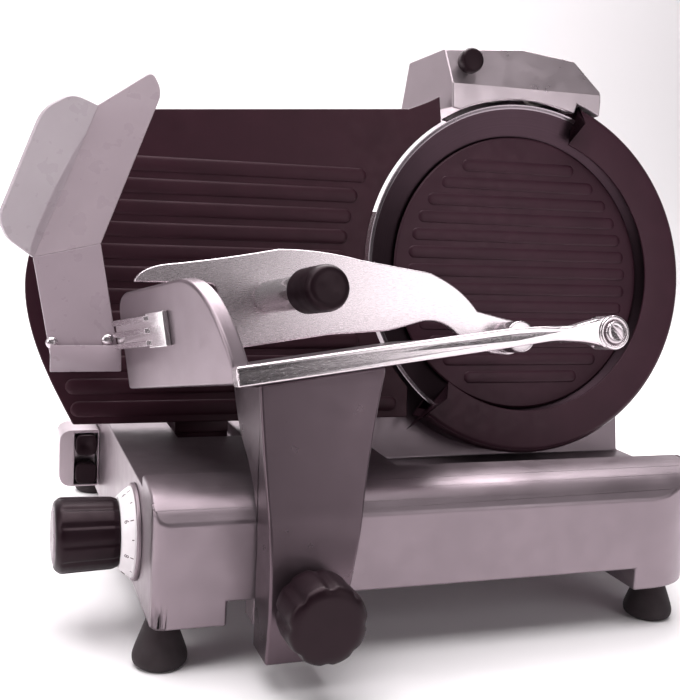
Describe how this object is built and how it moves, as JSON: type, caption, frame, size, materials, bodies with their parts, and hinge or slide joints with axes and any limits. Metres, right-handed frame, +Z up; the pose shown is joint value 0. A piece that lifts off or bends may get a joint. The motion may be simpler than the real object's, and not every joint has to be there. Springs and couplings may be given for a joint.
{
  "type": "deli meat slicer",
  "caption": "Electric gravity-feed slicer: leaning round blade, gauge plate set by a dial, and a sliding carriage with tray, press and hand guard.",
  "frame": {"origin": "on the bench under the middle of the bounding box", "axes": "+X is the carriage travel to the right, +Y points away from the operator, +Z is up"},
  "size_m": [0.6236, 0.543, 0.4461],
  "materials": {
    "cast_aluminium": "satin bead-blasted casting",
    "polished_aluminium": "polished and anodised",
    "dark_coating": "dark non-stick coating, semi-gloss",
    "blade_steel": "ground and polished hard chromed steel",
    "steel": "satin stainless steel",
    "black_plastic": "fine moulded texture",
    "black_rubber": "matt",
    "clear_guard": "translucent acrylic sheet with polished edges",
    "white_plastic": "satin moulded",
    "bronze": "turned bearing bronze",
    "stone": "abrasive stone, gritty"
  },
  "bodies": {
    "base": {"base_casting": "cast_aluminium", "bottom_cover": "steel", "foot_front_left": "black_rubber", "foot_front_right": "black_rubber", "foot_rear_left": "black_rubber", "foot_rear_right": "black_rubber", "guide_rod": "steel", "rear_rail": "steel", "cord_gland": "black_plastic", "switch_bezel": "cast_aluminium", "control_box": "black_plastic", "gauge_guide_rod": "steel", "ring_guard": "dark_coating", "blade_housing": "cast_aluminium", "front_bearing": "steel", "rear_bearing": "steel", "rear_cover": "cast_aluminium", "drive_belt": "black_rubber", "motor_body": "cast_aluminium"},
    "start_button": {"start_button": "black_plastic"},
    "stop_button": {"stop_button": "black_plastic"},
    "dial": {"dial_knob": "black_plastic", "graduated_ring": "white_plastic", "dial_shaft": "steel", "scroll_cam": "bronze"},
    "gauge": {"gauge_plate": "dark_coating", "gauge_bracket": "cast_aluminium"},
    "blade": {"blade": "blade_steel", "blade_spindle": "steel", "blade_pulley": "cast_aluminium"},
    "motor_rotor": {"motor_pulley": "steel"},
    "blade_cover": {"blade_cover": "dark_coating", "cover_tie_rod": "steel"},
    "cover_knob": {"cover_knob": "black_plastic"},
    "deflector": {"slice_deflector": "polished_aluminium"},
    "sharpener": {"sharpener_body": "polished_aluminium"},
    "grinding_stone": {"grinding_stone": "stone"},
    "deburring_stone": {"deburring_stone": "stone"},
    "sharpener_button": {"sharpener_button": "black_plastic"},
    "carriage": {"carriage_truck": "cast_aluminium", "bush_left": "bronze", "bush_right": "bronze"},
    "rail_roller": {"rail_roller": "white_plastic"},
    "arm": {"carriage_arm": "cast_aluminium", "arm_pivot_pin": "steel", "tray": "polished_aluminium", "tray_wall": "cast_aluminium", "press_rod": "steel", "rod_screw": "steel", "guard_bracket": "steel", "guard_bar": "steel", "hand_guard": "clear_guard"},
    "lock_knob": {"lock_knob": "black_plastic"},
    "press_carrier": {"press_sleeve": "steel"},
    "press": {"press_plate": "polished_aluminium", "tooth_plate": "steel", "handle_spacer": "steel", "press_knob": "black_plastic"}
  },
  "joints": [
    {"name": "start_button_press", "type": "slide", "parent": "base", "child": "start_button", "axis": [0, 1, 0], "range_m": [0, 0.003], "stiffness_N_per_m": 400, "springref_m": -0.002},
    {"name": "stop_button_press", "type": "slide", "parent": "base", "child": "stop_button", "axis": [0, 1, 0], "range_m": [0, 0.003], "stiffness_N_per_m": 400, "springref_m": -0.002},
    {"name": "dial_turn", "type": "hinge", "parent": "base", "child": "dial", "pos_m": [-0.22318, -0.1135, 0.071], "axis": [1, 0, 0], "range_deg": [0, 345]},
    {"name": "gauge_slide", "type": "slide", "parent": "base", "child": "gauge", "axis": [0, 0.9857, -0.1685], "range_m": [0, 0.014]},
    {"name": "blade_spin", "type": "hinge", "parent": "base", "child": "blade", "pos_m": [0.14682, 0.0405, 0.2437], "axis": [0, -0.9857, 0.1685], "continuous": true},
    {"name": "motor_spin", "type": "hinge", "parent": "base", "child": "motor_rotor", "pos_m": [0.14682, 0.08793, 0.10574], "axis": [0, -0.9857, 0.1685], "continuous": true},
    {"name": "cover_pull", "type": "slide", "parent": "base", "child": "blade_cover", "axis": [0, -0.9857, 0.1685], "range_m": [0, 0.015]},
    {"name": "cover_knob_turn", "type": "hinge", "parent": "base", "child": "cover_knob", "pos_m": [0.14682, 0.15878, 0.22348], "axis": [0, -0.9857, 0.1685], "range_deg": [0, 1440]},
    {"name": "deflector_swing", "type": "hinge", "parent": "base", "child": "deflector", "pos_m": [0.06982, 0.11098, 0.23165], "axis": [0, -0.1685, -0.9857], "range_deg": [0, 45]},
    {"name": "sharpener_lift", "type": "slide", "parent": "base", "child": "sharpener", "axis": [0, 0.1685, 0.9857], "range_m": [0, 0.03]},
    {"name": "grinding_stone_spin", "type": "hinge", "parent": "sharpener", "child": "grinding_stone", "pos_m": [0.12482, 0.08657, 0.41235], "axis": [0, -0.9857, 0.1685], "continuous": true},
    {"name": "deburring_stone_spin", "type": "hinge", "parent": "sharpener", "child": "deburring_stone", "pos_m": [0.16882, 0.08657, 0.41235], "axis": [0, -0.9857, 0.1685], "continuous": true},
    {"name": "sharpener_button_press", "type": "slide", "parent": "sharpener", "child": "sharpener_button", "axis": [0, 0.9857, -0.1685], "range_m": [0, 0.004], "stiffness_N_per_m": 400, "springref_m": -0.002},
    {"name": "carriage_slide", "type": "slide", "parent": "base", "child": "carriage", "axis": [1, 0, 0], "range_m": [0, 0.225]},
    {"name": "roller_spin", "type": "hinge", "parent": "carriage", "child": "rail_roller", "pos_m": [-0.13518, -0.0531, 0.06], "axis": [0, 0, 1], "range_deg": [-1620, 0]},
    {"name": "arm_tilt", "type": "hinge", "parent": "carriage", "child": "arm", "pos_m": [-0.13418, -0.2065, 0.03], "axis": [1, 0, 0], "range_deg": [0, 25]},
    {"name": "lock_knob_turn", "type": "hinge", "parent": "arm", "child": "lock_knob", "pos_m": [-0.13418, -0.2515, 0.06], "axis": [0, 1, 0], "range_deg": [0, 720]},
    {"name": "press_slide", "type": "slide", "parent": "arm", "child": "press_carrier", "axis": [0, -0.9857, 0.1685], "range_m": [0, 0.11]},
    {"name": "press_lift", "type": "hinge", "parent": "press_carrier", "child": "press", "pos_m": [0.09629, -0.02902, 0.19311], "axis": [0, 0.9857, -0.1685], "range_deg": [0, 100]}
  ],
  "couplings": [
    {"joint": "dial_turn", "follows": "gauge_slide", "rad_per_m": 430.1},
    {"joint": "motor_spin", "follows": "blade_spin", "ratio": 2.62},
    {"joint": "roller_spin", "follows": "carriage_slide", "rad_per_m": -125}
  ]
}
